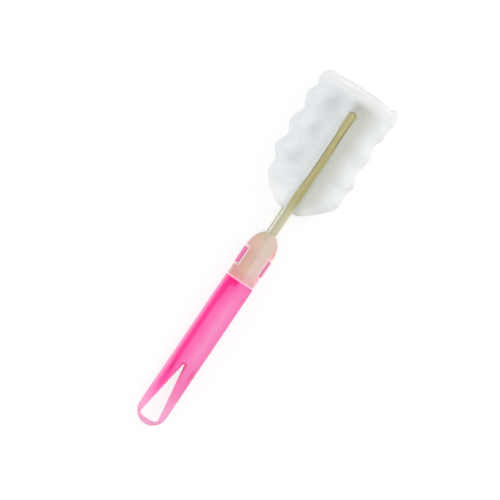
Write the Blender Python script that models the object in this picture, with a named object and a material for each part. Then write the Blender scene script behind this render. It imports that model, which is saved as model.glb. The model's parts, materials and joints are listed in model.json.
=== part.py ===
"""Sponge dish brush: hollow pink handle, clip-on collar with two clamping prongs, egg-crate sponge.

The brush is drawn along +X from the loop end of the handle to the top of the sponge, with its
front towards +Z and its left side (seen from the front, head up) towards +Y. At the end the whole
brush is laid on a level surface, resting on the back of the handle and of the sponge.
"""
import math

import bmesh
import bpy
from mathutils import Vector
from mathutils.geometry import convex_hull_2d

# Clearances and shared small sizes, in metres
GAP = 0.0003
OVERRUN = 0.003
EDGE_ROUND = 0.0004
WELD_DISTANCE = 0.000001

# Handle
HANDLE_LENGTH = 0.1152
HANDLE_WIDTH = 0.0214
HANDLE_DEPTH = 0.0155
LOOP_DEPTH = 0.0072
TAPER_LENGTH = 0.050
LOOP_END_BAR = 0.0037
HANG_TIP_CENTRE = 0.0474
HANG_TIP_RADIUS = 0.0006
HANG_CORNER_SPREAD = 0.0048
HANG_CORNER_RADIUS = 0.0020
HANG_END_RADIUS = 0.0099
HOOK_SEAT_WIDTH = 0.0030
HANG_EDGE_FLARE = 0.0024
HANG_STRAIGHT_DEPTH = 0.0030
HANG_WALL = 0.0018
HOLLOW_START = 0.0385
HOLLOW_END_ROUND = 0.013
BACK_WALL = 0.0018

# Neck of the handle and its latch tongues
NECK_LENGTH = 0.0238
NECK_WALL = 0.0014
NECK_RING_LENGTH = 0.0010
NECK_TIP_TAPER = 0.0006
TONGUE_DEPTH = 0.0056
LUG_HEIGHT_PROUD = 0.0005
LUG_CATCH_SLOPE = 0.0008
LUG_LEAD_IN = 0.0012
LUG_SIDE_FOOT = 0.0070
LUG_SLOT_INNER_Y = 0.0033
LUG_SEAT_HALF_DEPTH = 0.0024

# Collar
COLLAR_INSET = 0.00030
COLLAR_WALL = 0.0014
COLLAR_STRAIGHT_LENGTH = 0.0238
DOME_HEIGHT = 0.0149
DOME_TOP_WIDTH = 0.0092
DOME_TOP_DEPTH = 0.0138
DOME_ROOF = 0.0045
WINDOW_FROM_FOOT = 0.0086
WINDOW_LENGTH = 0.0141
WINDOW_DEPTH = 0.0094

# Prongs
PRONG_LENGTH = 0.0981
PRONG_GAP = 0.0060
PRONG_THICKNESS = 0.0036
PRONG_FLANK = 0.0013
FRONT_PRONG_WIDTH = 0.0066
REAR_PRONG_WIDTH = 0.0088
PRONG_TIP_ROUND = 0.0026

# Sponge
SPONGE_LENGTH = 0.0941
BARE_PRONG_LENGTH = 0.0201
LEFT_FOOT_SPAN = 0.0290
LEFT_TOP_SPAN = 0.0312
RIGHT_FOOT_SPAN = 0.0280
RIGHT_TOP_SPAN = 0.0262
LEFT_FOOT_RADIUS = 0.0220
RIGHT_FOOT_RADIUS = 0.0165
LOBE_DEPTH = 0.0310
FOOT_DEPTH = 0.0165
FOOT_DEPTH_ROUND = 0.016
TOP_DEPTH_ROUND = 0.0045
VALLEY_DROP = 0.0085
VALLEY_HALF_WIDTH = 0.0145
TIP_VALLEY_DROP = 0.0042
GROOVE_WALL_RUN = 0.0006
GROOVE_FILL_LENGTH = 0.0065
EGG_PITCH = 0.0188
EGG_HEIGHT = 0.0010
EGG_ROW_PLACE = 0.0140
EDGE_WAVE_HEIGHT = 0.0020
LEFT_FIRST_WAVE = 0.0159
RIGHT_FIRST_WAVE = 0.0193
WAVE_FADE_LENGTH = 0.0100
TOP_ARCH = 0.0025
LEFT_TOP_NUB = 0.0018
RIGHT_TOP_NUB = 0.0027

# Powers of the oval section, and how finely the shapes are cut up
OVAL_SIDE_POWER = 1.45
OVAL_FACE_POWER = 2.3
DEPTH_POWER = 2.6
CROWN_POWER = 2.1
PRONG_SIDE_POWER = 3.0
PRONG_FACE_POWER = 2.0
RIDGE_STEPS = 12
GRIP_STATIONS = 9
TAPER_STATIONS = 12
LOOP_END_STEPS = 20
OVAL_STEPS = 48
DOME_STEPS = 9
HANG_DEPTH_STEPS = 5
HANG_ARC_STEPS = 6
HOLLOW_STEPS = 8
COLLAR_STATIONS = 5
LATCH_STEPS = 10
PRONG_STEPS = 12
PRONG_STATIONS = 8
SPONGE_STATIONS = 33
FOOT_STATIONS = 4
LOBE_STEPS = 7
SHARP_EDGE_DEG = 35

# Shares chosen by hand
PRONG_TIP_WIDTH_SHARES = (1.0, 0.955, 0.83, 0.63, 0.30)
PRONG_TIP_THICKNESS_SHARES = (1.0, 0.98, 0.92, 0.82, 0.66)
PRONG_TIP_PLACE_SHARES = (0.0, 0.35, 0.65, 0.87, 1.0)
PRONG_RIDGE_SHARE = 0.35
NUB_START_SHARE = 0.76
EGG_FADE_SHARE = 0.35
LUG_SEAT_SHARE = 0.06
HOLLOW_POINT_SHARE = 0.06

# Places along the brush, from the loop end
SEAM_X = HANDLE_LENGTH
NECK_TIP_X = SEAM_X + NECK_LENGTH
TONGUE_ROOT_X = SEAM_X + NECK_RING_LENGTH + GAP
COLLAR_FOOT_X = SEAM_X + GAP
DOME_START_X = COLLAR_FOOT_X + COLLAR_STRAIGHT_LENGTH
WINDOW_START_X = COLLAR_FOOT_X + WINDOW_FROM_FOOT
WINDOW_END_X = WINDOW_START_X + WINDOW_LENGTH

# Half sizes of the nested ovals
GRIP_HALF = (HANDLE_WIDTH / 2, HANDLE_DEPTH / 2)
COLLAR_HALF = tuple(half - COLLAR_INSET for half in GRIP_HALF)
COLLAR_BORE_HALF = tuple(half - COLLAR_WALL for half in COLLAR_HALF)
NECK_HALF = tuple(half - GAP for half in COLLAR_BORE_HALF)
NECK_BORE_HALF = tuple(half - NECK_WALL for half in NECK_HALF)
LUG_HALF = tuple(half + LUG_HEIGHT_PROUD for half in COLLAR_HALF)
LUG_HALF_DEPTH = WINDOW_DEPTH / 2 - GAP
LUG_SEAT = NECK_BORE_HALF[0] + NECK_WALL * LUG_SEAT_SHARE

DOME_TOP_X = DOME_START_X + DOME_HEIGHT * math.sqrt(1 - (DOME_TOP_WIDTH / 2 / COLLAR_HALF[0]) ** 2)
PRONG_ROOT_X = DOME_TOP_X + GAP
PRONG_TIP_X = PRONG_ROOT_X + PRONG_LENGTH
PRONG_MIDDLE_Z = PRONG_GAP / 2 + PRONG_THICKNESS / 2
SPONGE_FOOT_X = DOME_TOP_X + BARE_PRONG_LENGTH

PINK = (0.965, 0.155, 0.455)
DEEP_PINK = (0.925, 0.120, 0.400)
NATURAL = (0.690, 0.560, 0.470)
OLIVE = (0.420, 0.400, 0.210)
FOAM_WHITE = (0.800, 0.830, 0.850)


def clear_scene():
    for thing in list(bpy.data.objects):
        bpy.data.objects.remove(thing, do_unlink=True)


def make_material(name, colour, roughness):
    material = bpy.data.materials.new(name)
    material.use_nodes = True
    shader = material.node_tree.nodes["Principled BSDF"]
    shader.inputs["Base Color"].default_value = (*colour, 1)
    shader.inputs["Roughness"].default_value = roughness
    shader.inputs["Metallic"].default_value = 0
    material.diffuse_color = (*colour, 1)
    return material


def make_object(name, mesh_data, origin=(0, 0, 0), material=None):
    """Turn a bmesh drawn in the brush's frame into an object whose origin is the given point."""
    bmesh.ops.remove_doubles(mesh_data, verts=mesh_data.verts, dist=WELD_DISTANCE)
    bmesh.ops.translate(mesh_data, verts=mesh_data.verts, vec=-Vector(origin))
    bmesh.ops.recalc_face_normals(mesh_data, faces=mesh_data.faces)
    mesh = bpy.data.meshes.new(name)
    mesh_data.to_mesh(mesh)
    mesh_data.free()
    thing = bpy.data.objects.new(name, mesh)
    thing.location = origin
    bpy.context.scene.collection.objects.link(thing)
    mesh.shade_smooth()
    mesh.set_sharp_from_angle(angle=math.radians(SHARP_EDGE_DEG))
    if material:
        mesh.materials.append(material)
    return thing


def make_cutter(name, mesh_data):
    cutter = make_object(name, mesh_data)
    cutter.hide_render = True
    cutter.display_type = "WIRE"
    return cutter


def combine(thing, other, operation):
    step = thing.modifiers.new(f"{operation.lower()} {other.name}", "BOOLEAN")
    step.operation = operation
    step.object = other
    step.solver = "EXACT"


def loft(rings):
    """Skin a list of rings, each a closed loop of equally many points, and cap both ends."""
    shape = bmesh.new()
    loops = [[shape.verts.new(point) for point in ring] for ring in rings]
    for lower, upper in zip(loops, loops[1:]):
        for i in range(len(lower)):
            j = (i + 1) % len(lower)
            shape.faces.new((lower[i], lower[j], upper[j], upper[i]))
    shape.faces.new(list(reversed(loops[0])))
    shape.faces.new(loops[-1])
    return shape


def oval_point(x, halves, angle):
    """Point of the flattened oval with soft front and back ridges; angle 0 is the left side."""
    across, deep = math.cos(angle), math.sin(angle)
    y = halves[0] * math.copysign(abs(across) ** (2 / OVAL_SIDE_POWER), across)
    z = halves[1] * math.copysign(abs(deep) ** (2 / OVAL_FACE_POWER), deep)
    return Vector((x, y, z))


def oval_ring(x, halves):
    return [oval_point(x, halves, 2 * math.pi * i / OVAL_STEPS) for i in range(OVAL_STEPS)]


def shrunk(halves, amount):
    return tuple(half - amount for half in halves)


def smooth_step(share):
    share = min(1, max(0, share))
    return share * share * (3 - 2 * share)


def handle_half_depth(x):
    """Half depth of the handle at the ridge: it thins smoothly towards the loop end."""
    ease = smooth_step((x - HANDLE_WIDTH / 2) / TAPER_LENGTH)
    return LOOP_DEPTH / 2 + (HANDLE_DEPTH - LOOP_DEPTH) / 2 * ease


def grip_route():
    """Stations down one side, round the loop end and up the other: a centre and a plan direction."""
    radius = HANDLE_WIDTH / 2
    taper_end = radius + TAPER_LENGTH
    straight = [SEAM_X - EDGE_ROUND]
    for i in range(GRIP_STATIONS):
        straight.append(SEAM_X - EDGE_ROUND - (SEAM_X - EDGE_ROUND - taper_end) * (i + 1) / GRIP_STATIONS)
    for i in range(TAPER_STATIONS):
        straight.append(taper_end - TAPER_LENGTH * (i + 1) / TAPER_STATIONS)
    route = [(x, (0, 1)) for x in straight]
    for i in range(1, LOOP_END_STEPS):
        turn = math.pi * i / LOOP_END_STEPS
        route.append((radius, (-math.sin(turn), math.cos(turn))))
    route += [(x, (0, -1)) for x in reversed(straight)]
    return route


def grip_shape():
    """Outside of the grip: the oval's section swept down both sides and round the loop end."""
    shape = bmesh.new()
    columns = []
    route = grip_route()
    route = [(SEAM_X, route[0][1])] + route + [(SEAM_X, route[-1][1])]
    for centre_x, (way_x, way_y) in route:
        inset = EDGE_ROUND if centre_x == SEAM_X else 0
        column = []
        for i in range(2 * RIDGE_STEPS + 1):
            angle = math.pi / 2 * (i / RIDGE_STEPS - 1)
            reach = (HANDLE_WIDTH / 2 - inset) * abs(math.cos(angle)) ** (2 / OVAL_SIDE_POWER)
            x = centre_x + way_x * reach
            height = abs(math.sin(angle)) ** (2 / OVAL_FACE_POWER)
            z = math.copysign(height * (handle_half_depth(x) - inset), angle)
            column.append(shape.verts.new((x, way_y * reach, z)))
        columns.append(column)
    for near, far in zip(columns, columns[1:]):
        for i in range(2 * RIDGE_STEPS):
            shape.faces.new((near[i], near[i + 1], far[i + 1], far[i]))
    shape.faces.new(columns[0] + list(reversed(columns[-1])))
    bmesh.ops.remove_doubles(shape, verts=shape.verts, dist=WELD_DISTANCE)
    return shape


def arc(centre, radius, start, end, steps):
    """Points of an arc in plan, each with its outward direction."""
    points = []
    for i in range(steps + 1):
        turn = start + (end - start) * i / steps
        way = (math.cos(turn), math.sin(turn))
        points.append(((centre[0] + radius * way[0], centre[1] + radius * way[1]), way))
    return points


def hang_outline():
    """Plan outline of the hang opening: round tip, straight sides, round corners, flat hook seat."""
    end_x = LOOP_END_BAR + HANG_END_RADIUS
    spread = HANG_CORNER_SPREAD - HOOK_SEAT_WIDTH / 2
    back = math.sqrt((HANG_END_RADIUS - HANG_CORNER_RADIUS) ** 2 - spread ** 2)
    corner = (end_x - back, HANG_CORNER_SPREAD)
    run = HANG_TIP_CENTRE - corner[0]
    distance = math.hypot(run, corner[1])
    side = math.acos((HANG_CORNER_RADIUS - HANG_TIP_RADIUS) / distance) - math.atan2(corner[1], run)
    end = math.atan2(spread, -back)
    upper = arc((HANG_TIP_CENTRE, 0), HANG_TIP_RADIUS, 0, side, HANG_ARC_STEPS)
    upper += arc(corner, HANG_CORNER_RADIUS, side, end, HANG_ARC_STEPS)
    upper += arc((end_x, HOOK_SEAT_WIDTH / 2), HANG_END_RADIUS, end, math.pi, HANG_ARC_STEPS)[1:]
    lower = [((x, -y), (way_x, -way_y)) for (x, y), (way_x, way_y) in reversed(upper[1:])]
    return upper + lower


def hang_shape(extra):
    """The hang opening as a solid, its sides flared towards the front and back faces."""
    rings = []
    deepest = HANDLE_DEPTH / 2 + OVERRUN
    straight = HANG_STRAIGHT_DEPTH / 2
    levels = []
    for i in range(HANG_DEPTH_STEPS + 1):
        levels.append(straight + (deepest - straight) * i / HANG_DEPTH_STEPS)
    for z in [-level for level in reversed(levels)] + levels:
        share = (abs(z) - straight) / (HANDLE_DEPTH / 2 - straight)
        grow = extra + HANG_EDGE_FLARE * share ** 2
        rings.append([(x + grow * way[0], y + grow * way[1], z) for (x, y), way in hang_outline()])
    return loft(rings)


def hollow_shape():
    """The bore of the handle, open at the neck, its blind end rounded and thinned with the handle."""
    rings = []
    for i in range(HOLLOW_STEPS + 1):
        share = HOLLOW_POINT_SHARE + (1 - HOLLOW_POINT_SHARE) * i / HOLLOW_STEPS
        x = HOLLOW_START + HOLLOW_END_ROUND * share
        bulge = math.sqrt(1 - (1 - share) ** 2)
        depth = min(NECK_BORE_HALF[1], handle_half_depth(x) - BACK_WALL)
        rings.append(oval_ring(x, (NECK_BORE_HALF[0] * bulge, depth * bulge)))
    grip_start = HANDLE_WIDTH / 2 + TAPER_LENGTH
    rings.append(oval_ring(grip_start, NECK_BORE_HALF))
    rings.append(oval_ring(NECK_TIP_X + OVERRUN, NECK_BORE_HALF))
    return loft(rings)


def neck_shape():
    tip = shrunk(NECK_HALF, NECK_TIP_TAPER)
    return loft([
        oval_ring(SEAM_X - OVERRUN, NECK_HALF),
        oval_ring(NECK_TIP_X - OVERRUN, NECK_HALF),
        oval_ring(NECK_TIP_X, tip),
    ])


def side_arc(x, halves, half_depth, side):
    """The oval's line round one side of the brush, as far as the half depth on both faces."""
    reach = math.asin((half_depth / halves[1]) ** (OVAL_FACE_POWER / 2))
    points = [oval_point(x, halves, reach * (2 * i / LATCH_STEPS - 1)) for i in range(LATCH_STEPS + 1)]
    return [(point.x, side * point.y, point.z) for point in points]


def side_block(span_x, span_y, half_depth, side):
    """Box on one side of the brush, between two places along it and two distances from its axis."""
    near_y, far_y = span_y
    corners = ((near_y, -half_depth), (far_y, -half_depth), (far_y, half_depth), (near_y, half_depth))
    return loft([[(x, side * y, z) for y, z in corners] for x in span_x])


def make_handle(material):
    handle = make_object("handle", grip_shape(), material=material)
    neck = make_cutter("neck_form", neck_shape())
    sleeve = make_cutter("hang_wall_form", hang_shape(HANG_WALL))
    hollow = make_cutter("hollow_form", hollow_shape())
    combine(hollow, sleeve, "DIFFERENCE")
    opening = make_cutter("hang_form", hang_shape(0))
    combine(handle, neck, "UNION")
    combine(handle, hollow, "DIFFERENCE")
    beyond_y, beyond_x = NECK_HALF[0] + OVERRUN, NECK_TIP_X + OVERRUN
    for side, name in ((1, "left"), (-1, "right")):
        tongue_slot = ((SEAM_X + NECK_RING_LENGTH, beyond_x), (0, beyond_y), TONGUE_DEPTH / 2 + GAP)
        combine(handle, make_cutter(f"{name}_tongue_slot_form", side_block(*tongue_slot, side)), "DIFFERENCE")
        lug_slot = ((WINDOW_START_X, beyond_x), (LUG_SLOT_INNER_Y, beyond_y), WINDOW_DEPTH / 2)
        combine(handle, make_cutter(f"{name}_lug_slot_form", side_block(*lug_slot, side)), "DIFFERENCE")
    combine(handle, opening, "DIFFERENCE")
    return handle


def lug_shape(side):
    """Block that fills a window: straight sides that pass the window's when it is pressed in."""
    start = WINDOW_START_X + GAP
    end = WINDOW_END_X - GAP
    stations = [
        (start, COLLAR_HALF),
        (start + LUG_CATCH_SLOPE, LUG_HALF),
        (end - LUG_LEAD_IN, LUG_HALF),
        (end, COLLAR_HALF),
    ]
    rings = []
    for x, outer in stations:
        underside = [
            (x, side * LUG_SIDE_FOOT, LUG_HALF_DEPTH),
            (x, side * LUG_SEAT, LUG_SEAT_HALF_DEPTH),
            (x, side * LUG_SEAT, -LUG_SEAT_HALF_DEPTH),
            (x, side * LUG_SIDE_FOOT, -LUG_HALF_DEPTH),
        ]
        rings.append(side_arc(x, outer, LUG_HALF_DEPTH, side) + underside)
    return loft(rings)


def make_latch_tongue(name, side, material):
    """Side tongue of the neck: a curved plate, hinged along its root's inner corners, with its lug."""
    tip = shrunk(NECK_HALF, NECK_TIP_TAPER)
    rings = []
    for x, outer in ((TONGUE_ROOT_X, NECK_HALF), (NECK_TIP_X - OVERRUN, NECK_HALF), (NECK_TIP_X, tip)):
        inside = side_arc(x, NECK_BORE_HALF, TONGUE_DEPTH / 2, side)
        rings.append(side_arc(x, outer, TONGUE_DEPTH / 2, side) + inside[::-1])
    tongue = make_object(name, loft(rings), rings[0][-1][:2] + (0,), material)
    combine(tongue, make_cutter(f"{name}_lug_form", lug_shape(side)), "UNION")
    return tongue


def dome_halves(x, wall):
    """Half width and half depth of the dome at a place, set in by a wall."""
    rise = (x - DOME_START_X) / (DOME_HEIGHT - wall)
    round_share = math.sqrt(max(0, 1 - rise * rise))
    half_width = (COLLAR_HALF[0] - wall) * round_share
    top_depth = DOME_TOP_DEPTH / 2 - wall
    half_depth = top_depth + (COLLAR_HALF[1] - wall - top_depth) * round_share
    return half_width, half_depth


def make_collar(material):
    outside = [
        oval_ring(COLLAR_FOOT_X, shrunk(COLLAR_HALF, EDGE_ROUND)),
        oval_ring(COLLAR_FOOT_X + EDGE_ROUND, COLLAR_HALF),
    ]
    for i in range(1, COLLAR_STATIONS + 1):
        x = COLLAR_FOOT_X + EDGE_ROUND + (COLLAR_STRAIGHT_LENGTH - EDGE_ROUND) * i / COLLAR_STATIONS
        outside.append(oval_ring(x, COLLAR_HALF))
    turn_end = math.asin((DOME_TOP_X - DOME_START_X) / DOME_HEIGHT)
    for i in range(1, DOME_STEPS + 1):
        x = DOME_START_X + DOME_HEIGHT * math.sin(turn_end * i / DOME_STEPS)
        outside.append(oval_ring(x, dome_halves(x, 0)))
    collar = make_object("collar", loft(outside), material=material)

    inside = [oval_ring(COLLAR_FOOT_X - OVERRUN, COLLAR_BORE_HALF), oval_ring(DOME_START_X, COLLAR_BORE_HALF)]
    roof_x = DOME_TOP_X - DOME_ROOF
    for i in range(1, DOME_STEPS + 1):
        x = DOME_START_X + (roof_x - DOME_START_X) * math.sin(math.pi / 2 * i / DOME_STEPS)
        inside.append(oval_ring(x, dome_halves(x, COLLAR_WALL)))
    combine(collar, make_cutter("collar_bore_form", loft(inside)), "DIFFERENCE")

    window = ((WINDOW_START_X, WINDOW_END_X), (0, COLLAR_HALF[0] + OVERRUN), WINDOW_DEPTH / 2)
    for side, name in ((1, "left_window_form"), (-1, "right_window_form")):
        combine(collar, make_cutter(name, side_block(*window, side)), "DIFFERENCE")
    return collar


def prong_ring(x, width, thickness, side):
    """Section of a prong: flat towards the sponge, low flanks, two crowned faces that meet in a low ridge."""
    flank = PRONG_FLANK * thickness / PRONG_THICKNESS
    ring = []
    for i in range(PRONG_STEPS + 1):
        turn = math.pi * i / PRONG_STEPS
        across, out = math.cos(turn), math.sin(turn)
        y = width / 2 * math.copysign(abs(across) ** (2 / PRONG_SIDE_POWER), across)
        slope = 1 - PRONG_RIDGE_SHARE * abs(y) / (width / 2)
        z = PRONG_GAP / 2 + flank + (thickness - flank) * slope * out ** (2 / PRONG_FACE_POWER)
        ring.append((x, y, side * z))
    ring.append((x, -width / 2, side * PRONG_GAP / 2))
    ring.append((x, width / 2, side * PRONG_GAP / 2))
    return ring


def make_prong(name, width, side, material):
    tip_start = PRONG_TIP_X - PRONG_TIP_ROUND
    rings = []
    for i in range(PRONG_STATIONS):
        x = PRONG_ROOT_X + (tip_start - PRONG_ROOT_X) * i / PRONG_STATIONS
        rings.append(prong_ring(x, width, PRONG_THICKNESS, side))
    tip_shares = zip(PRONG_TIP_PLACE_SHARES, PRONG_TIP_WIDTH_SHARES, PRONG_TIP_THICKNESS_SHARES)
    for place, wide, thick in tip_shares:
        x = tip_start + PRONG_TIP_ROUND * place
        rings.append(prong_ring(x, width * wide, PRONG_THICKNESS * thick, side))
    origin = (PRONG_ROOT_X, 0, side * PRONG_MIDDLE_Z)
    return make_object(name, loft(rings), origin, material)


def sponge_span(along, side):
    """How far the sponge reaches sideways from the brush's axis, with the waves of its edge."""
    if side > 0:
        foot_span, top_span = LEFT_FOOT_SPAN, LEFT_TOP_SPAN
        radius, first = LEFT_FOOT_RADIUS, LEFT_FIRST_WAVE
    else:
        foot_span, top_span = RIGHT_FOOT_SPAN, RIGHT_TOP_SPAN
        radius, first = RIGHT_FOOT_RADIUS, RIGHT_FIRST_WAVE
    span = foot_span + (top_span - foot_span) * along / SPONGE_LENGTH
    if along < radius:
        span += math.sqrt(radius ** 2 - (radius - along) ** 2) - radius
    wave = math.cos(2 * math.pi * (along - first) / EGG_PITCH)
    return span + EDGE_WAVE_HEIGHT * wave * smooth_step(along / WAVE_FADE_LENGTH)


def rounded(share):
    """Quarter circle that rises from 0 to 1."""
    share = min(1, max(0, share))
    return math.sqrt(1 - (1 - share) ** 2)


def egg_bump(along, y, side):
    """Egg-crate pattern of one face, from -1 in a hollow to 1 on a bump."""
    first = LEFT_FIRST_WAVE if side > 0 else RIGHT_FIRST_WAVE
    lengthways = math.cos(2 * math.pi * (along - first) / EGG_PITCH)
    sideways = math.cos(2 * math.pi * (y - EGG_ROW_PLACE) / EGG_PITCH)
    return -lengthways * sideways


def foam_half_depth(along, y, side, face):
    """Half depth of the foam beside the groove: lobes left and right, a valley between, bumps on both."""
    crown = (1 - min(1, y / sponge_span(along, side)) ** DEPTH_POWER) ** (1 / CROWN_POWER)
    lobe = FOOT_DEPTH / 2 + (LOBE_DEPTH - FOOT_DEPTH) / 2 * rounded(along / FOOT_DEPTH_ROUND)
    lobe -= TOP_DEPTH_ROUND / 2 * (1 - rounded((SPONGE_LENGTH - along) / TOP_DEPTH_ROUND))
    filled = smooth_step((along - (PRONG_TIP_X - SPONGE_FOOT_X)) / GROOVE_FILL_LENGTH)
    drop = VALLEY_DROP + (TIP_VALLEY_DROP - VALLEY_DROP) * filled
    drop *= math.exp(-(y / VALLEY_HALF_WIDTH) ** 2) * rounded(along / FOOT_DEPTH_ROUND)
    fade = smooth_step((y / VALLEY_HALF_WIDTH - EGG_FADE_SHARE) / (1 - EGG_FADE_SHARE))
    fade *= crown * smooth_step(along / FOOT_DEPTH_ROUND)
    return lobe * crown - drop + face * EGG_HEIGHT * egg_bump(along, y, side) * fade


def groove_floor(along, edge_depth):
    """Half depth of the foam under a prong; past the prong's tip the foam comes up again."""
    floor = PRONG_GAP / 2 - GAP
    past = along - (PRONG_TIP_X - SPONGE_FOOT_X + GAP)
    return floor + (edge_depth - floor) * smooth_step(past / GROOVE_FILL_LENGTH)


def sponge_top_reach(across_share, side):
    """How far the top of the sponge stands above its plain length: a low arch, then a nub at each corner."""
    arch = TOP_ARCH * (1 - min(1, across_share / NUB_START_SHARE) ** 2)
    nub_height = LEFT_TOP_NUB if side > 0 else RIGHT_TOP_NUB
    nub_share = max(0, across_share - NUB_START_SHARE) / (1 - NUB_START_SHARE)
    return arch + nub_height * math.sin(math.pi * nub_share)


def foam_row(along_share, face):
    """Points of one face of the sponge at one station, from its left edge to its right edge."""
    along = SPONGE_LENGTH * along_share
    groove = (FRONT_PRONG_WIDTH if face > 0 else REAR_PRONG_WIDTH) / 2 + GAP
    wall_top = groove + GROOVE_WALL_RUN
    row = []
    for side in (1, -1):
        span = sponge_span(along, side)
        half = [(span, 0)]
        for i in range(LOBE_STEPS - 1, -1, -1):
            y = wall_top + (span - wall_top) * math.sin(math.pi / 2 * i / LOBE_STEPS)
            half.append((y, foam_half_depth(along, y, side, face)))
        half.append((groove, groove_floor(along, half[-1][1])))
        places = []
        for y, depth in half:
            x = SPONGE_FOOT_X + along_share * (SPONGE_LENGTH + sponge_top_reach(y / span, side))
            places.append((x, side * y, face * depth))
        row += places if side > 0 else list(reversed(places))
    return row


def sponge_stations():
    """Shares of the sponge's length, closer together where the foot is round."""
    foot_share = FOOT_DEPTH_ROUND / SPONGE_LENGTH / 2
    shares = [foot_share * (1 - math.cos(math.pi / 2 * i / FOOT_STATIONS)) for i in range(FOOT_STATIONS)]
    steps = SPONGE_STATIONS - FOOT_STATIONS - 1
    return shares + [foot_share + (1 - foot_share) * i / steps for i in range(steps + 1)]


def make_sponge(material):
    """Egg-crate sponge, drawn in where the prongs clamp it."""
    shape = bmesh.new()
    faces = {}
    for face in (1, -1):
        rows = [[shape.verts.new(point) for point in foam_row(share, face)] for share in sponge_stations()]
        for lower, upper in zip(rows, rows[1:]):
            for i in range(len(lower) - 1):
                shape.faces.new((lower[i], lower[i + 1], upper[i + 1], upper[i]))
        faces[face] = rows
    for end in (0, -1):
        front, back = faces[1][end], faces[-1][end]
        for i in range(len(front) - 1):
            shape.faces.new((front[i], front[i + 1], back[i + 1], back[i]))
    return make_object("sponge", shape, (SPONGE_FOOT_X, 0, 0), material)


def lay_on_surface(parts):
    """Lay the brush down: the lowest line under its back becomes level, at height zero."""
    bpy.context.view_layer.update()
    depsgraph = bpy.context.evaluated_depsgraph_get()
    outline = []
    widest = []
    for part in parts:
        body = part.evaluated_get(depsgraph)
        mesh = body.to_mesh()
        points = [body.matrix_world @ vertex.co for vertex in mesh.vertices]
        outline += [Vector((point.x, point.z)) for point in points]
        widest += [point.y for point in points]
        body.to_mesh_clear()
    hull = [outline[i] for i in convex_hull_2d(outline)]
    middle = (DOME_TOP_X + SPONGE_FOOT_X) / 2
    slope = 0
    for a, b in zip(hull, hull[1:] + hull[:1]):
        left, right = (a, b) if a.x < b.x else (b, a)
        under = left.x <= middle <= right.x and left.y + right.y < 0
        if under:
            slope = math.atan2(right.y - left.y, right.x - left.x)
    turned = [(p.x * math.cos(slope) + p.y * math.sin(slope),
               p.y * math.cos(slope) - p.x * math.sin(slope)) for p in outline]
    stand = bpy.data.objects.new("brush_frame", None)
    bpy.context.scene.collection.objects.link(stand)
    stand.rotation_euler = (0, slope, 0)
    low_x, high_x = min(x for x, z in turned), max(x for x, z in turned)
    lowest = min(z for x, z in turned)
    stand.location = (-(low_x + high_x) / 2, -(min(widest) + max(widest)) / 2, -lowest)
    for thing in list(bpy.data.objects):
        if thing != stand and thing.parent is None:
            thing.parent = stand
    bpy.context.view_layer.update()


def main():
    clear_scene()
    parts = [
        make_handle(make_material("pink_plastic", PINK, 0.28)),
        make_latch_tongue("left_latch_tongue", 1, make_material("left_lug_plastic", DEEP_PINK, 0.3)),
        make_latch_tongue("right_latch_tongue", -1, make_material("right_lug_plastic", DEEP_PINK, 0.3)),
        make_collar(make_material("natural_plastic", NATURAL, 0.3)),
        make_prong("front_prong", FRONT_PRONG_WIDTH, 1, make_material("front_prong_plastic", OLIVE, 0.35)),
        make_prong("rear_prong", REAR_PRONG_WIDTH, -1, make_material("rear_prong_plastic", OLIVE, 0.35)),
        make_sponge(make_material("white_foam", FOAM_WHITE, 0.95)),
    ]
    lay_on_surface(parts)


main()
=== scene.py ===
import json
import math

import bpy
from mathutils import Matrix, Vector, noise


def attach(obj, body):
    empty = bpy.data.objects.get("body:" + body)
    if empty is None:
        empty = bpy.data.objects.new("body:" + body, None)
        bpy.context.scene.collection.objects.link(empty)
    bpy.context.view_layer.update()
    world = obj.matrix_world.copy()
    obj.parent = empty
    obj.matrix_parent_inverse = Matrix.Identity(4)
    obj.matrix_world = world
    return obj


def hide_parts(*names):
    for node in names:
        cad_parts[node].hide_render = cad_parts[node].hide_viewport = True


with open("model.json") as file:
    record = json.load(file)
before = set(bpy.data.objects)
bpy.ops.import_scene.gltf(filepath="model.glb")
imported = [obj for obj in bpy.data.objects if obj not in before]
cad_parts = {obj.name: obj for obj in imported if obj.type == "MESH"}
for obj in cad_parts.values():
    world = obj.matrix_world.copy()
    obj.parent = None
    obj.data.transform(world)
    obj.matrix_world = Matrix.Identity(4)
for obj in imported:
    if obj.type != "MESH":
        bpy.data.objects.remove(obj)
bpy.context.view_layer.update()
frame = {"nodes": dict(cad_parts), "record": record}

# Sizes are in millimetres, in the brush's own frame:
# along from the loop end, across to its left, and out of its front.
MM = 0.001
LOOP_END_BAR = 3.7
BRUSH_MIDDLE = 135
HANG_APEX = 47.4
HANDLE_HALF_WIDTH = 10.7
SEAM = 115.2
LUG = (124.4, 137.9)
LUG_HALF_DEPTH = 4.4
WINDOW = (124.1, 138.2)
WINDOW_EDGE = 7.7
DOME_START = 139.3
PRONG_TIP = 251.06
PRONG_CORNER = 0.2
FRONT_PRONG_WIDTH = 6.6
REAR_PRONG_WIDTH = 8.8
PRONG_GAP = 6.0

# The foam's lobes, from its foot
FOOT = 172.76
FOAM_LENGTH = 93.4
LOBE_DEPTH = 29.6
FOOT_DEPTH = 16.5
FOOT_ROUND = 16.0
CROWN_POWERS = (2.6, 2.1)
TOP_ROUND = 4.5
TOP_BEAD = 0.8
BEAD_BELOW_TOP = 3.2
BEAD_SPREAD = 2.0
LEFT_WAVE = 31.5
RIGHT_WAVE = 27.0
TOP_ARCH = 1.8
TOP_NUB = {1: 0.9, -1: 2.9}
NUB_START = 0.76
NUB_PLACE = 22.4

# The valley in which the prongs lie, filling up over a run towards the foam's top
VALLEY_DROP = 8.5
VALLEY_HALF_WIDTH = 14.5
TIP_VALLEY_DROP = 5.0
VALLEY_FILL = (72, 20)

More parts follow.
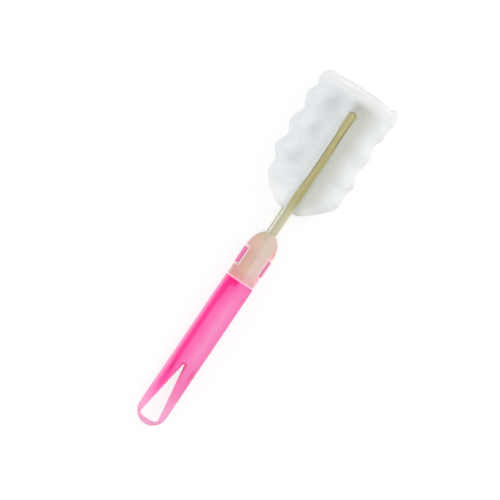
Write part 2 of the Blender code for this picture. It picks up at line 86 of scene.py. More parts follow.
# Egg-crate swells: their pitch, height by side and row, and how they fade inwards and outwards
EGG_PITCH = 21.5
EGG_HEIGHT = {1: 1.1, -1: 0.6}
EGG_ROW = 16.0
EGG_INNER_END = 0.35
EGG_OUTER_LOSS = 0.6
EGG_OUTER_FADE = (3, 5)

# The groove under a prong, and its shoulders
GROOVE_CLEAR = 0.1
FOAM_LIP = 0.15
TIP_LIP_GROWTH = 2
TIP_ROUND_START = 0.3
TIP_ROUND = 2.9
NARROWEST_SHARE = 0.3
UNDERCUT = 0.25
SHOULDER_RUN = 2.8
TIP_SHOULDER_RUN = 4.6
SHOULDER_DEPTH = 5.2
SHOULDER_FILL = 0.92
FOLD_RISE = 1.7
# What changes round the prong's tip: where it starts, counted from the tip, and its run
GROOVE_CLOSES = (-0.5, 0.9)
LIP_GROWS = (-3, 3)
SHOULDERS_WIDEN = (-5, 9)
SHOULDERS_FILL = (-1, 8.5)
# Where the foam folds over the front prong's edge, by side:
# middle, half of the full fold, run-out, and reach
FOLDS = {1: (42, 14, 16, 0.75), -1: (60, 4, 14, 0.55)}

# Points of the foam's mesh: along it, from its edge to a shoulder, and down the shoulder
STATIONS = 190
STATION_POWER = 1.25
LOBE_POINTS = 34
SHOULDER_POINTS = 7
# Swells of the foam's skin: size and height; and how the skin keeps smooth near the groove
SWELLS = ((9, 0.45), (3.2, 0.22), (1.3, 0.1))
SWELL_START = 4
SWELL_FADE = 3
SWELL_LEAST_DEPTH = 6

# Reach of the foam's left and right edges at places along it
LEFT_EDGE = (
    (0, 6.6), (2, 12.0), (6, 18.4), (11, 23.2), (16.3, 26.3), (21, 26.3), (26, 27.4), (30, 31.0),
    (33.9, 32.1), (37.5, 30.4), (43, 28.9), (48, 31.5), (52.9, 33.1), (57, 31.9), (63, 29.5),
    (67, 31.0), (73.9, 33.6), (77.5, 32.4), (81.2, 30.7), (85, 32.2), (88.5, 32.6), (91, 31.9),
    (93.4, 30.0))
RIGHT_EDGE = (
    (0, 6.5), (2, 10.0), (6, 15.0), (13, 22.2), (17, 25.4), (21.5, 27.3), (26, 27.2), (30, 26.4),
    (33.8, 27.7), (37.3, 28.6), (43, 26.2), (48, 24.8), (53, 26.2), (57.2, 27.1), (63, 25.0),
    (67, 24.1), (73.8, 26.5), (77.2, 27.1), (81.2, 26.6), (86, 27.6), (91, 27.0), (93.4, 26.0))

# Finishes: shared colours, strengths of glow (painted on the plastic and foam, white to the lens on the
# floor) and of relief, where the glowing crevice by the groove ends, and the middle of the painted
# shadow past the prong's tip
SEAM_HIGHLIGHT_PINK = "FFC6DB"
PORE_SHADE = "CDD3D8"
BLACK = "000000"
WHITE = "FFFFFF"
PLASTIC_GLOW = 0.3
FOAM_GLOW = 0.1
FLOOR_GLOW = 0.77
RELIEF = 0.6
GROOVE_END = (250.5, 252)
SHADOW_PAST_TIP = (258.5, -1)

# Modifiers: how near points are welded, and above which angle an edge stays sharp
NODE_WELD = 0.002
FOAM_WELD = 0.02
SHARP = 35
PRONG_SHARP = 24

# Camera: square to the brush's length, turned a little about it towards its left side. The brush
# leans in the picture, and its middle lies so many pixels right of the picture's centre and below it.
VIEW_TURN = math.radians(5)
PICTURE_LEAN = math.radians(34.0)
FIELD = 336.5
LENS = 96
SENSOR = 36
MIDDLE_IN_PICTURE = (6.3, 6.9)
MM_PER_PIXEL = 0.673

# Room: its light on the brush, and half the floor's side in metres
AMBIENT = 0.66
FLOOR_HALF = 3
# Lamps: direction as right, up and towards the lens; distance and size in metres; power in watts
LAMPS = {"key": ((1.4, 0.4, 0.9), 1.1, 0.9, 3.8),
         "fill": ((-1.4, 0.2, 0.8), 1.3, 1.0, 4.0),
         "top": ((0, 0, 1), 1.5, 1.2, 2.0)}

RECORD = frame["record"]
SEAT = next(mount for mount in RECORD["mounts"] if mount["name"] == "hook_seat")
LONG = Vector(SEAT["axis"]).normalized()
LEFT = Vector((0, 1, 0))
OUT = LONG.cross(LEFT).normalized()
LOOP_END = Vector(SEAT["pos_m"]) - LONG * LOOP_END_BAR * MM
TILT = math.atan2(-LONG.z, LONG.x)


def place(along, across, out):
    """A point of the brush in the frame's metres."""
    return LOOP_END + (LONG * along + LEFT * across + OUT * out) * MM


def linear(code):
    """A colour as the eye reads it on a screen, turned into light."""
    parts = [int(code[i:i + 2], 16) / 255 for i in (0, 2, 4)]
    return tuple(part / 12.92 if part <= 0.04045 else ((part + 0.055) / 1.055) ** 2.4
                 for part in parts)


def grey(light):
    """A colour with as much red as green and blue light."""
    return light, light, light, 1


class Share:
    """A socket that takes part in Python sums."""

    def __init__(self, mix, socket):
        self.mix = mix
        self.socket = socket

    def sum(self, operation, *values, clamp=False):
        settings = {"operation": operation, "use_clamp": clamp}
        return self.mix.node("ShaderNodeMath", settings, dict(enumerate(values)))

    def __add__(self, other):
        return self.sum("ADD", self, other)

    def __radd__(self, other):
        return self.sum("ADD", other, self)

    def __sub__(self, other):
        return self.sum("SUBTRACT", self, other)

    def __rsub__(self, other):
        return self.sum("SUBTRACT", other, self)

    def __mul__(self, other):
        return self.sum("MULTIPLY", self, other)

    def __pow__(self, power):
        return self.sum("POWER", self, power)

    def __abs__(self):
        return self.sum("ABSOLUTE", self)

    def wave(self, first, pitch):
        """1 at the first place and every pitch from it, -1 halfway between."""
        return self.sum("COSINE", (self - first) * (2 * math.pi / pitch))

    def held(self):
        """The value kept between 0 and 1."""
        return self.sum("ADD", self, 0, clamp=True)

    def rise(self, low, high):
        """0 below low, 1 above high, smooth between."""
        return self.mix.node("ShaderNodeMapRange", {"interpolation_type": "SMOOTHSTEP"}, {
            "Value": self, "From Min": low, "From Max": high})

    def fall(self, low, high):
        """1 below low, 0 above high, smooth between."""
        return 1 - self.rise(low, high)

    def between(self, low, full, fade, high):
        """0 outside low and high, 1 from full to fade."""
        return self.rise(low, full) * self.fall(fade, high)

    def bell(self, middle, half_width):
        """1 at the middle, falling smoothly to 0 at half a width from it."""
        return abs(self - middle).fall(0, half_width)


class Mix:
    """A tree of shader nodes being mixed for one finish or room."""

    def __init__(self, tree):
        self.tree = tree

    def node(self, kind, settings=None, inputs=None, output=0):
        """A new node with its settings and inputs, as the share that leaves it."""
        made = self.tree.nodes.new(kind)
        for name, value in (settings or {}).items():
            setattr(made, name, value)
        for name, value in (inputs or {}).items():
            self.put(made.inputs[name], value)
        return Share(self, made.outputs[output])

    def put(self, socket, value):
        """Link a share to a socket, or set a colour code or a plain value on it."""
        if isinstance(value, Share):
            self.tree.links.new(value.socket, socket)
        elif isinstance(value, str):
            socket.default_value = (*linear(value), 1)
        else:
            socket.default_value = value

    def seen(self):
        """1 where a ray comes from the lens, from a gloss or through something clear, otherwise 0."""
        lens, gloss, clear = (self.node("ShaderNodeLightPath", output=f"Is {way} Ray")
                              for way in ("Camera", "Glossy", "Transmission"))
        return (lens + gloss + clear).held()


class Finish(Mix):
    """A material being mixed, with the settings of its shader."""

    def __init__(self, name, **settings):
        self.material = bpy.data.materials.new(name)
        self.material.use_nodes = True
        super().__init__(self.material.node_tree)
        self.shader = self.tree.nodes["Principled BSDF"]
        self.feed(**settings)
        where = self.node("ShaderNodeTexCoord", output="Object")
        self.spot = self.node("ShaderNodeMapping", {"vector_type": "TEXTURE"}, {
            "Vector": where, "Location": LOOP_END, "Rotation": (0, TILT, 0), "Scale": (MM, MM, MM)})
        self.along, self.across, self.out = (
            self.node("ShaderNodeSeparateXYZ", {}, {0: self.spot}, output=way) for way in "XYZ")

    def feed(self, **values):
        """Put values into the shader's sockets, each named by its words in small letters."""
        for words, value in values.items():
            self.put(self.shader.inputs[words.replace("_", " ").title().replace("Ior", "IOR")], value)

    def grain(self, per_mm, detail=2.0, stretch=(1, 1, 1)):
        """Soft noise from 0 to 1, with so many swells per millimetre."""
        scaled = self.node("ShaderNodeVectorMath", {"operation": "MULTIPLY"}, {0: self.spot, 1: stretch})
        return self.node("ShaderNodeTexNoise", {}, {"Vector": scaled, "Scale": per_mm, "Detail": detail})

    def cells(self, per_mm):
        """Distance from the middle of the nearest cell, with so many cells per millimetre."""
        return self.node("ShaderNodeTexVoronoi", {}, {"Vector": self.spot, "Scale": per_mm})

    def away(self, along, across):
        """Distance from a place, seen from the front."""
        return ((self.along - along) ** 2 + (self.across - across) ** 2) ** 0.5

    def mixed(self, share, first, second):
        """The first colour where the share is 0, the second where it is 1."""
        settings = {"data_type": "RGBA", "clamp_factor": True}
        return self.node("ShaderNodeMix", settings, {0: share, 6: first, 7: second}, output=2)

    def painted(self, base, *coats):
        """A colour under coats, each a share and a colour, laid on in turn."""
        for share, colour in coats:
            base = self.mixed(share, base, colour)
        return base

    def bumped(self, height, depth_mm):
        """Relief of the given depth that only the shading shows."""
        self.feed(normal=self.node("ShaderNodeBump", {}, {
            "Height": height, "Distance": depth_mm * MM, "Strength": RELIEF}))


# In the finishes below, a coat's share is told by the places in mm between which it comes and goes,
# times its full strength. Each coat lies over those before it.
def pink_handle():
    """Glossy pink moulding, clear enough that its hollow shows as deeper pink down the left side;
    painted shade on its left half, near the seam and round the hang opening, painted highlights along
    its left edge, right of its middle and on the seam's lip, and a faint painted glow.
    """
    finish = Finish("pink_plastic", ior=1.46, specular_ior_level=0.3, coat_weight=0.08,
                    coat_roughness=0.15, subsurface_weight=0.2, subsurface_radius=(0.004, 0.0012, 0.002))
    along, across = finish.along, finish.across
    cloud = finish.grain(0.12, 3.0) - 0.5
    wall = across + (finish.grain(0.05, 1.0) - 0.5) * 0.6
    hollow = wall + along.fall(40, 58) * 0.8 + along.rise(107, 112) * 1.2
    near_seam = along.rise(92, SEAM - 1)

    # Painted shade: the left half is deeper pink, as the side turned away from the light.
    left = across.rise(-2.5, 3.5) * 0.65 + across.rise(3, 9) * 0.35
    legs = along.fall(8, 38) * 0.9
    # Painted highlight along the left edge of the legs.
    left_edge_highlight = across.rise(HANDLE_HALF_WIDTH - 2.8, HANDLE_HALF_WIDTH - 0.6) * along.rise(14, 32) * 0.7
    # Deep pink where the hollow's wall is seen edge-on, deepened with painted shade on this side, which
    # is turned away from the light.
    hollow_and_shade_stripe = hollow.bell(7.1, 2.9) * along.rise(14, 40)
    hollow_and_shade_stripe *= along.rise(35, 55) * 0.2 + near_seam * 0.05 + 0.75
    # Painted highlight: a soft pale band right of the middle.
    highlight_stripe = wall.bell(-3.6, 2.6) * along.rise(48, 62) * (1 - near_seam) * 0.3
    right_stripe = wall.bell(-9.0, 2.0) * along.rise(22, 42) * 0.3
    seam_shade = near_seam * (across.rise(-7, 8) * 0.5 + 0.2)
    # Painted highlight along the left edge near the seam.
    left_edge_highlight_by_seam = across.rise(8.3, 10.9) * along.rise(98, 108) * 0.38
    # The same stripe of hollow and painted shade, carried on up to the seam.
    hollow_and_shade_by_seam = wall.bell(6.1, 1.9) * along.rise(92, 102) * 0.7
    # Painted shade: deeper pink below the seam, and a darker shadow line just under the seam's pale lip.
    seam_band_shade = along.rise(SEAM - 6.5, SEAM - 2.5) * across.rise(-1, 2.5) * across.fall(7, 9) * 0.95
    seam_shadow_line = along.bell(SEAM - 0.9, 0.5) * abs(across).rise(1, 3) * 0.4
    # Painted shade: dark lines on the legs beside the hang opening, and an arc just above its apex.
    left_crease_shade = across.bell(6.7, 0.9) * along.bell(44.5, 8) * 0.95
    right_crease_shade = across.bell(-7.8, 1.0) * along.bell(44, 8) * 0.6
    apex_shade = finish.away(HANG_APEX, 0).bell(2.0, 0.9) * along.rise(HANG_APEX, HANG_APEX + 1) * 0.45
    right_leg = across.fall(-5, 0) * along.between(18, 30, 44, 56) * 0.16
    # Painted highlight on the handle's rounded edge at the seam.
    seam_lip_highlight = along.between(SEAM - 0.5, SEAM - 0.2, SEAM + 0.1, SEAM + 0.3)
    colour = finish.painted(
        finish.mixed(left + cloud * 0.3, "FF8AC6", "FF50AC"),
        (legs, "FDB0D6"),
        (left_edge_highlight, "FFAAD3"),
        (hollow_and_shade_stripe, "FC0590"),
        (highlight_stripe, "FFA6D4"),
        (right_stripe, "F8489F"),
        (seam_shade, "FA1C96"),
        (left_edge_highlight_by_seam, "FFE0EE"),
        (hollow_and_shade_by_seam, "F80080"),
        (seam_band_shade, "FB0080"),
        (seam_shadow_line, "BE2A70"),
        (left_crease_shade, "C80A66"),
        (right_crease_shade, "E2207F"),
        (apex_shade, "E0237F"),
        (right_leg, "F0408F"),
        (seam_lip_highlight * 0.85, SEAM_HIGHLIGHT_PINK))
    # A faint painted glow over the whole handle, paler pink and stronger on the seam's lip.
    finish.feed(base_color=colour, roughness=0.27 + finish.grain(0.8, 3.0) * 0.1,
                emission_strength=PLASTIC_GLOW, emission_color=finish.mixed(seam_lip_highlight, "55122F", SEAM_HIGHLIGHT_PINK))
    finish.bumped(finish.grain(1.6, 3.0), 0.02)
    return finish.material


def pink_lug():
    """The latch lugs: pink like the handle, with painted shade where they go in under the collar, and
    painted highlights on their ends, front sides and right edge.
    """
    finish = Finish("lug_plastic", ior=1.46, subsurface_weight=0.2,
                    subsurface_radius=(0.003, 0.001, 0.0015))
    along, width = finish.along, abs(finish.across)
    # Painted highlights: the ends and front sides are pale.
    ends = along.fall(LUG[0] + 0.3, LUG[0] + 1.0) + along.rise(LUG[1] - 1.3, LUG[1] - 0.6)
    sides = abs(finish.out).rise(LUG_HALF_DEPTH - 0.3, LUG_HALF_DEPTH - 0.1) * width.fall(8.2, 8.6)
    # Painted shade: deeper pink where the lug goes in under the collar's window edge.
    shade_under_collar = width.fall(8.6, 9.5) * 0.7
    # Painted highlight along the right edge.
    right_edge_highlight = finish.across.fall(-10.3, -9) * 0.4
    colour = finish.painted(
        finish.mixed(finish.grain(0.25), "FA86BD", "F074AE"),
        (shade_under_collar, "B93480"),
        (right_edge_highlight, "FFE0EA"),
        ((ends + sides).held() * 0.85, "FFD3DF"))
    finish.feed(base_color=colour, roughness=0.3 + finish.grain(1.0) * 0.12)
    finish.bumped(finish.grain(1.6, 3.0), 0.02)
    return finish.material


def natural_collar():
    """Milky unpigmented plastic: the pink neck shows through its walls; painted shade darkens its left
    half, painted highlights pale its cut edges at the windows and its foot, and its right side and foot
    have a painted glow.
    """
    finish = Finish("natural_plastic", ior=1.5, coat_weight=0.1, coat_roughness=0.25,
                    subsurface_weight=0.3, subsurface_radius=(0.004, 0.003, 0.002))
    along, across = finish.along, finish.across
    # Painted shade: the left half is darker, as the side turned away from the light.
    left = (across + finish.grain(0.2) - 0.5).rise(-0.9, 0.9)
    dome = along.rise(DOME_START - 6, DOME_START + 7)
    cloud = finish.grain(0.15, 3.0) * 0.35
    dome_shade = dome * (0.75 - across.rise(2, 7) * 0.45)
    left_wall = across.rise(2, 8) * (1 - dome * 0.4) * 0.5
    right_wall = across.fall(-9.5, -5)
    near_seam = along.fall(SEAM + 1, SEAM + 10) * (across.rise(1, 5) * 0.4 + 0.45)
    # Painted light: paler pink on the right near the seam.
    lit_right_by_seam = along.fall(SEAM + 3, SEAM + 12) * across.fall(-3, 0.5) * 0.45
    olive_top = along.rise(142, 151) * across.rise(-2, 3) * 0.35
    # Painted highlights on the window rims and on the pale line of the foot at the seam; both also make
    # the wall less clear.
    beside_window = along.between(WINDOW[0] - 0.8, WINDOW[0] - 0.4, WINDOW[1] + 0.4, WINDOW[1] + 0.8)
    window_rim_highlight = beside_window * abs(across).rise(WINDOW_EDGE - 0.6, WINDOW_EDGE - 0.3)
    foot_highlight = along.fall(SEAM + 0.5, SEAM + 0.9)
    colour = finish.painted(
        finish.mixed(left, "FBE6DC", "EFCDB8"),
        (cloud, "E9D6C0"),
        (dome_shade, "E1CCBA"),
        (left_wall, "F2ADA7"),
        (right_wall, "F3C0B9"),
        (near_seam, "F9B2B4"),
        (lit_right_by_seam, "FFDCDC"),
        (olive_top, "B8B590"),
        (window_rim_highlight * 0.8, "FFDDE2"),
        (foot_highlight * 0.9, "FFD2DF"))
    # Painted glow on the right side, and in pale pink on the foot.
    right_glow = across.fall(-7.8, -4.8) * along.between(SEAM + 1, SEAM + 5, 139, 143)
    glow = finish.mixed(foot_highlight, finish.mixed(right_glow, BLACK, "B46A90"), SEAM_HIGHLIGHT_PINK)
    solid = 0.55 + along.rise(SEAM + 3, WINDOW[0]) * 0.12 + dome * 0.25 + (window_rim_highlight + foot_highlight) * 0.3
    finish.feed(base_color=colour, roughness=0.28 + finish.grain(0.9, 3.0) * 0.12,
                alpha=solid.held(), emission_strength=PLASTIC_GLOW, emission_color=glow)
    finish.bumped(finish.grain(1.2, 3.0), 0.02)
    return finish.material


def olive_prong(name, width, edge_share, edge_run):
    """Clear plastic, yellow-green; painted shade makes it darker over the foam and on its left half,
    painted light makes it paler where it stands free, on its right half and along its thin edges, and
    its edges and flanks have a painted glow.
    """
    finish = Finish(name, ior=1.5, coat_weight=0.1, coat_roughness=0.25,
                    subsurface_weight=0.25, subsurface_radius=(0.003, 0.003, 0.0012))
    along, across = finish.along, finish.across
    # Painted shade: darker over the foam, which keeps light from coming through from behind.
    over_foam = along.rise(FOOT - 6, FOOT + 10)
    # Painted shade: the left half is darker, as the side of the ridge turned away from the light.
    left = across.rise(-0.7, 0.9)
    warm_left = left * along.bell(200, 22) * 0.4
    # Painted light on the right half towards the tip.
    lit_right = (1 - left) * along.rise(205, 240) * 0.35
    streaks = finish.grain(0.3, 3.0, stretch=(0.25, 1, 1)) * 0.3
    corner = width / 2 - PRONG_CORNER
    # Painted highlights: the thin edges are pale; edges and flanks also get a painted glow.
    edge = abs(across).rise(width / 2 - edge_run, corner) * (1 - over_foam * 0.7) * edge_share
    flank = abs(across).rise(width / 2 - 0.9, corner) * over_foam
    colour = finish.painted(
        finish.mixed(left, "D4CFB0", "C2C0A4"),
        (over_foam, finish.mixed(left, "B2AC72", "BCB587")),
        (warm_left, "C4B79C"),
        (lit_right, "D3CD92"),
        (streaks, "A39C62"),
        (edge, "F3F5EE"))
    glow = finish.mixed(edge, finish.mixed(flank, BLACK, "B4B08A"), "E6EADF")
    finish.feed(base_color=colour, roughness=0.3 + finish.grain(0.9) * 0.15,
                emission_strength=PLASTIC_GLOW, emission_color=glow)
    finish.bumped(finish.grain(0.9, 3.0, stretch=(0.3, 1, 1)), 0.03)
    return finish.material


def white_foam():
    """Open-cell foam: fine pores; painted light whitens its foot, edges and top, and painted shade greys
    it right of, beside and past the prong and in its egg-crate hollows.
    """
    finish = Finish("white_foam", roughness=0.95, specular_ior_level=0.2, sheen_weight=0.1,
                    sheen_roughness=0.5, subsurface_weight=0.4, subsurface_radius=(0.008, 0.008, 0.008))
    along, across = finish.along, finish.across
    width = abs(across)
    pores = finish.cells(1.9).rise(0, 0.55)
    large_pores = finish.cells(0.8).rise(0.05, 0.4)
    uneven = finish.grain(0.07, 2.0)

    upper_shade = along.bell(245, 16) * across.bell(16, 11) * 0.5
    # Painted light: white at the foot.
    foot_light = along.fall(176, 212) * 0.8
    egg_wave = along.wave(FOOT + LEFT_WAVE, EGG_PITCH) + uneven * 1.6 - 0.8
    egg_row = (across + uneven * 4 - 2).bell(17, 9)
    # Painted shade in the egg-crate hollows.
    hollow_shade = egg_wave.rise(-0.6, 1.3) * along.rise(190, 200) * egg_row * 0.4
    # Painted light: the left lobe is paler towards its edges.
    left_side = finish.painted(
        finish.mixed((width + uneven * 10 - 5).rise(15, 27), "E6E9EC", "F1F5F8"),
        (upper_shade, "CCD5D3"),
        (foot_light, "F7FAFC"),
        (hollow_shade, "C4CDD1"))
    # Painted shade: the right lobe is greyer near the prong, where its slope is turned away from the
    # light, and paler out to its edge.
    right_side = finish.mixed((width + uneven * 6 - 3).rise(5, 25), "CFD1C5", "FAFDFF")

    left = (across - along.rise(245, 256) * 3).rise(-4, 4)
    # Painted shade beside the prong's left edge.
    shade_left_of_prong = across.bell(4.5, 4.5) * along.fall(240, 250) * 0.35
    # Painted shadow in the dip just past the prong's tip.
    shadow_past_tip = finish.away(*SHADOW_PAST_TIP).bell(0, 9) * 0.6
    # Painted light along the top.
    top_light = along.rise(255, 263) * 0.85
    top = ((across * (1 / NUB_PLACE)) ** 2) * -TOP_ARCH + (FOOT + FOAM_LENGTH + TOP_ARCH)
    cut_edge = (along - top).bell(-0.6, 0.6) * width.fall(NUB_PLACE - 2, NUB_PLACE)
    cut_edge *= finish.grain(1.1) * 0.6 + 0.15
    cloud = finish.grain(0.09, 3.0) * 0.2
    colour = finish.painted(
        finish.mixed(left, right_side, left_side),
        (shade_left_of_prong, "CBD0C4"),
        (shadow_past_tip, "C1C5B8"),
        (top_light, "FDFEFE"),
        (cut_edge, "BFB7B2"),
        (cloud, "EEF1F3"),
        ((1 - pores) * 0.14, PORE_SHADE),
        ((1 - large_pores) * 0.1, PORE_SHADE))

    # Painted light: the foot is whitened and glows, and the crevice beside the groove glows, against
    # their shade.
    lit_foot = along.fall(FOOT, FOOT + 14)
    lit_crevice = abs(finish.out).fall(4.8, 5.6) * width.fall(3.3, 4.6)
    lit_crevice *= along.between(FOOT + 0.5, FOOT + 4, *GROOVE_END)
    glow = (lit_foot * width.rise(6, 14) + lit_crevice).held()
    finish.feed(base_color=finish.mixed(lit_foot * width.rise(4, 12) * 0.8, colour, WHITE),
                emission_strength=FOAM_GLOW, emission_color=finish.mixed(glow, BLACK, WHITE))
    finish.bumped(pores + large_pores * 0.8 + finish.grain(0.5, 4.0) * 0.8, 0.3)
    return finish.material


def white_floor():
    """Floor that is white to the lens, keeps the brush's shadow and throws light back up to it."""
    finish = Finish("studio_floor", roughness=0.9, specular_ior_level=0.1, emission_strength=FLOOR_GLOW)
    seen = finish.seen()
    finish.feed(base_color=finish.mixed(seen, grey(0.9), grey(0.26)),
                emission_color=finish.mixed(seen, grey(0), grey(1)))
    return finish.material


def dress(name, material, sharp_deg=SHARP):
    """Give a node its finish, and shade its facets as the curved surface that they stand for."""
    node = frame["nodes"][name]
    weld = node.modifiers.new("weld", "WELD")
    weld.merge_threshold = NODE_WELD * MM
    split = node.modifiers.new("keep_rims", "EDGE_SPLIT")
    split.split_angle = math.radians(sharp_deg)
    shade = node.modifiers.new("round", "WEIGHTED_NORMAL")
    shade.mode = "FACE_AREA_WITH_ANGLE"
    shade.weight = 50
    for slot in node.material_slots:
        slot.material = material


def smooth_step(share):
    """0 below 0, 1 above 1, smooth between."""
    share = min(1, max(0, share))
    return share * share * (3 - 2 * share)


def change(value, start, run):
    """0 up to the start, 1 a run later, smooth between."""
    return smooth_step((value - start) / run)


def rounded(share):
    """A quarter circle: it leaves 0 steeply and comes flat to 1."""
    share = min(1, max(0, share))
    return math.sqrt(1 - (1 - share) ** 2)


def slope_at(points, k):
    """Slope of the smooth line at one of its points."""
    near = points[max(0, k - 1):k + 2]
    slopes = [(b[1] - a[1]) / (b[0] - a[0]) for a, b in zip(near, near[1:])]
    before, after = slopes[0], slopes[-1]
    return 0 if before * after <= 0 else 2 * before * after / (before + after)


def through(points, along):
    """A smooth line through a few points, flat at its peaks and notches."""
    if along <= points[0][0]:
        return points[0][1]
    for k in range(len(points) - 1):
        (x0, y0), (x1, y1) = points[k], points[k + 1]
        if along <= x1:
            run = x1 - x0
            t = (along - x0) / run
            start, end = slope_at(points, k), slope_at(points, k + 1)
            return ((2 * t ** 3 - 3 * t ** 2 + 1) * y0 + (t ** 3 - 2 * t ** 2 + t) * run * start
                    + (3 * t ** 2 - 2 * t ** 3) * y1 + (t ** 3 - t ** 2) * run * end)
    return points[-1][1]


def foam_depth(along, across, reach, side, face):
    """Half depth of the foam beside the prong's groove."""
    crown = (1 - min(1, across / reach) ** CROWN_POWERS[0]) ** (1 / CROWN_POWERS[1])
    lobe = FOOT_DEPTH / 2 + (LOBE_DEPTH - FOOT_DEPTH) / 2 * rounded(along / FOOT_ROUND)
    lobe -= TOP_ROUND / 2 * (1 - rounded((FOAM_LENGTH - along) / TOP_ROUND))
    lobe += TOP_BEAD * math.exp(-((along - FOAM_LENGTH + BEAD_BELOW_TOP) / BEAD_SPREAD) ** 2)
    drop = VALLEY_DROP + (TIP_VALLEY_DROP - VALLEY_DROP) * change(along, *VALLEY_FILL)
    drop *= math.exp(-(across / VALLEY_HALF_WIDTH) ** 2) * rounded(along / FOOT_ROUND) * crown
    first = LEFT_WAVE if side > 0 else RIGHT_WAVE
    egg = -math.cos(2 * math.pi * (along - first) / EGG_PITCH)
    egg *= math.cos(2 * math.pi * (across - EGG_ROW) / EGG_PITCH)
    fade = change(across / VALLEY_HALF_WIDTH, EGG_INNER_END, 1 - EGG_INNER_END) * crown
    fade *= smooth_step(along / FOOT_ROUND)
    fade *= 1 - EGG_OUTER_LOSS * change(across - EGG_ROW, *EGG_OUTER_FADE)
    return lobe * crown - drop + face * EGG_HEIGHT[side] * egg * fade


def foam_top(share, side):
    """How far the top of the foam stands above its plain length."""
    arch = TOP_ARCH * (1 - min(1, share / NUB_START) ** 2)
    nub = max(0, share - NUB_START) / (1 - NUB_START)
    return arch + TOP_NUB[side] * math.sin(math.pi * nub)


def foam_line(step, face):
    """Points of one face at one station, from the left edge to the right edge."""
    share = (step / STATIONS) ** STATION_POWER
    along = FOAM_LENGTH * share
    beyond = along + share * TOP_ARCH - (PRONG_TIP - FOOT + GROOVE_CLEAR)
    prong_width = FRONT_PRONG_WIDTH if face > 0 else REAR_PRONG_WIDTH
    groove = prong_width / 2 - FOAM_LIP * (1 + TIP_LIP_GROWTH * change(beyond, *LIP_GROWS))
    groove *= max(NARROWEST_SHARE, rounded((TIP_ROUND_START - beyond) / TIP_ROUND))
    floor = PRONG_GAP / 2 - GROOVE_CLEAR
    run = SHOULDER_RUN + TIP_SHOULDER_RUN * change(beyond, *SHOULDERS_WIDEN)
    line = []
    for side, edge in ((1, LEFT_EDGE), (-1, RIGHT_EDGE)):
        reach = through(edge, along)
        half = [(reach, 0)]
        for i in range(LOBE_POINTS - 1, -1, -1):
            across = groove + run + (reach - groove - run) * math.sin(math.pi / 2 * i / LOBE_POINTS)
            half.append((across, foam_depth(along, across, reach, side, face)))
        wall = half[-1][1]
        middle, half_length, run_out, over = FOLDS[side]
        fold = 1 - change(abs(along - middle), half_length, run_out) if face > 0 else 0
        shoulder = min(wall, SHOULDER_DEPTH + FOLD_RISE * fold)
        shoulder += (wall - shoulder) * SHOULDER_FILL * change(beyond, *SHOULDERS_FILL)
        bottom = floor + (shoulder - floor) * change(beyond, *GROOVE_CLOSES)
        for i in range(1, SHOULDER_POINTS + 1):
            inward = (run + over * fold) * i / SHOULDER_POINTS
            down = math.cos(math.pi / 2 * i / SHOULDER_POINTS)
            half.append((groove + run - inward, shoulder + (wall - shoulder) * down))
        half.append((groove, shoulder - (shoulder - bottom) * UNDERCUT))
        half.append((groove, bottom))
        half.append((groove / 2, bottom))
        for across, depth in half if side > 0 else half[::-1]:
            x = FOOT + along + share * foam_top(across / reach, side)
            line.append(Vector((x, side * across, face * depth)))
    return line


def with_skin(point):
    """A point of the foam in the frame's metres, moved by its skin's swells, but not in the groove."""
    swell = sum(noise.noise(point / size) * height for size, height in SWELLS)
    depth, width = abs(point.z), abs(point.y)
    keep = change(depth, PRONG_GAP / 2, SWELL_FADE) * change(width, SWELL_START, SWELL_FADE)
    return place(point.x, point.y, point.z * (1 + swell * keep / max(SWELL_LEAST_DEPTH, depth)))


def sponge():
    """Egg-crate sponge head: its lobes, the groove under each prong, and its soft uneven skin."""
    points, faces = [], []
    for face in (1, -1):
        start = len(points)
        lines = [foam_line(step, face) for step in range(STATIONS + 1)]
        width = len(lines[0])
        points += sum(lines, [])
        for step in range(STATIONS):
            for i in range(width - 1):
                a = start + step * width + i
                quad = (a, a + 1, a + width + 1, a + width)
                faces.append(quad if face < 0 else quad[::-1])
    for step in (0, STATIONS):
        for i in range(width - 1):
            a, b = step * width + i, (STATIONS + 1 + step) * width + i
            quad = (a, a + 1, b + 1, b)
            faces.append(quad if step == 0 else quad[::-1])
    mesh = bpy.data.meshes.new("sponge_head")
    mesh.from_pydata([with_skin(point) for point in points], [], faces)
    mesh.validate()
    thing = bpy.data.objects.new("sponge_head", mesh)
    bpy.context.scene.collection.objects.link(thing)
    weld = thing.modifiers.new("weld", "WELD")
    weld.merge_threshold = FOAM_WELD * MM
    mesh.shade_smooth()
    mesh.materials.append(white_foam())
    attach(thing, "sponge")
    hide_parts("sponge")


def lamp(name, direction, distance, size, power):
    """Large soft light that faces the middle of the brush."""
    light = bpy.data.lights.new(name, "AREA")
    light.shape = "SQUARE"
    light.size = size
    light.energy = power
    thing = bpy.data.objects.new(name, light)
    bpy.context.scene.collection.objects.link(thing)
    thing.location = place(BRUSH_MIDDLE, 0, 0) + direction.normalized() * distance
    thing.rotation_euler = direction.to_track_quat("Z", "Y").to_euler()


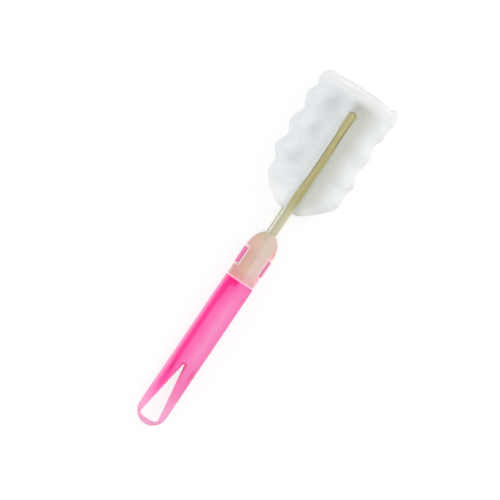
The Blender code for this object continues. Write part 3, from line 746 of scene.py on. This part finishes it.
def studio():
    """White floor, and an even room that is white to the lens and dimmer to the brush."""
    scene = bpy.context.scene
    scene.view_settings.view_transform = "Standard"
    scene.world = bpy.data.worlds.new("studio")
    scene.world.use_nodes = True
    room = Mix(scene.world.node_tree)
    background = room.tree.nodes["Background"]
    background.inputs["Color"].default_value = grey(1)
    room.put(background.inputs["Strength"], AMBIENT + room.seen() * (1 - AMBIENT))
    mesh = bpy.data.meshes.new("studio_floor")
    corners = [(x * FLOOR_HALF, y * FLOOR_HALF, 0) for x, y in ((-1, -1), (1, -1), (1, 1), (-1, 1))]
    mesh.from_pydata(corners, [], [(0, 1, 2, 3)])
    mesh.materials.append(white_floor())
    floor = bpy.data.objects.new("studio_floor", mesh)
    scene.collection.objects.link(floor)


def camera():
    """Set the photo's camera, and tell its directions to the right, up and towards it."""
    towards = OUT * math.cos(VIEW_TURN) + LEFT * math.sin(VIEW_TURN)
    leftwards = LEFT * math.cos(VIEW_TURN) - OUT * math.sin(VIEW_TURN)
    right = LONG * math.sin(PICTURE_LEAN) - leftwards * math.cos(PICTURE_LEAN)
    up = LONG * math.cos(PICTURE_LEAN) + leftwards * math.sin(PICTURE_LEAN)
    lens = bpy.data.cameras.new("camera")
    lens.lens = LENS
    lens.sensor_width = SENSOR
    thing = bpy.data.objects.new("camera", lens)
    bpy.context.scene.collection.objects.link(thing)
    shift = (up * MIDDLE_IN_PICTURE[1] - right * MIDDLE_IN_PICTURE[0]) * MM_PER_PIXEL * MM
    centre = place(BRUSH_MIDDLE, 0, 0) + shift
    distance = FIELD * MM * LENS / SENSOR
    turn = Matrix((right, up, towards)).transposed().to_4x4()
    thing.matrix_world = Matrix.Translation(centre + towards * distance) @ turn
    bpy.context.scene.camera = thing
    return right, up, towards


dress("handle", pink_handle())
lug_finish = pink_lug()
dress("left_latch_tongue", lug_finish)
dress("right_latch_tongue", lug_finish)
dress("collar", natural_collar())
dress("front_prong", olive_prong("front_prong_plastic", FRONT_PRONG_WIDTH, 0.7, 1.0), PRONG_SHARP)
dress("rear_prong", olive_prong("rear_prong_plastic", REAR_PRONG_WIDTH, 0.9, 1.8), PRONG_SHARP)
sponge()
studio()
right, up, towards = camera()
for name, ((rightwards, upwards, nearer), distance, size, power) in LAMPS.items():
    lamp(name, right * rightwards + up * upwards + towards * nearer, distance, size, power)
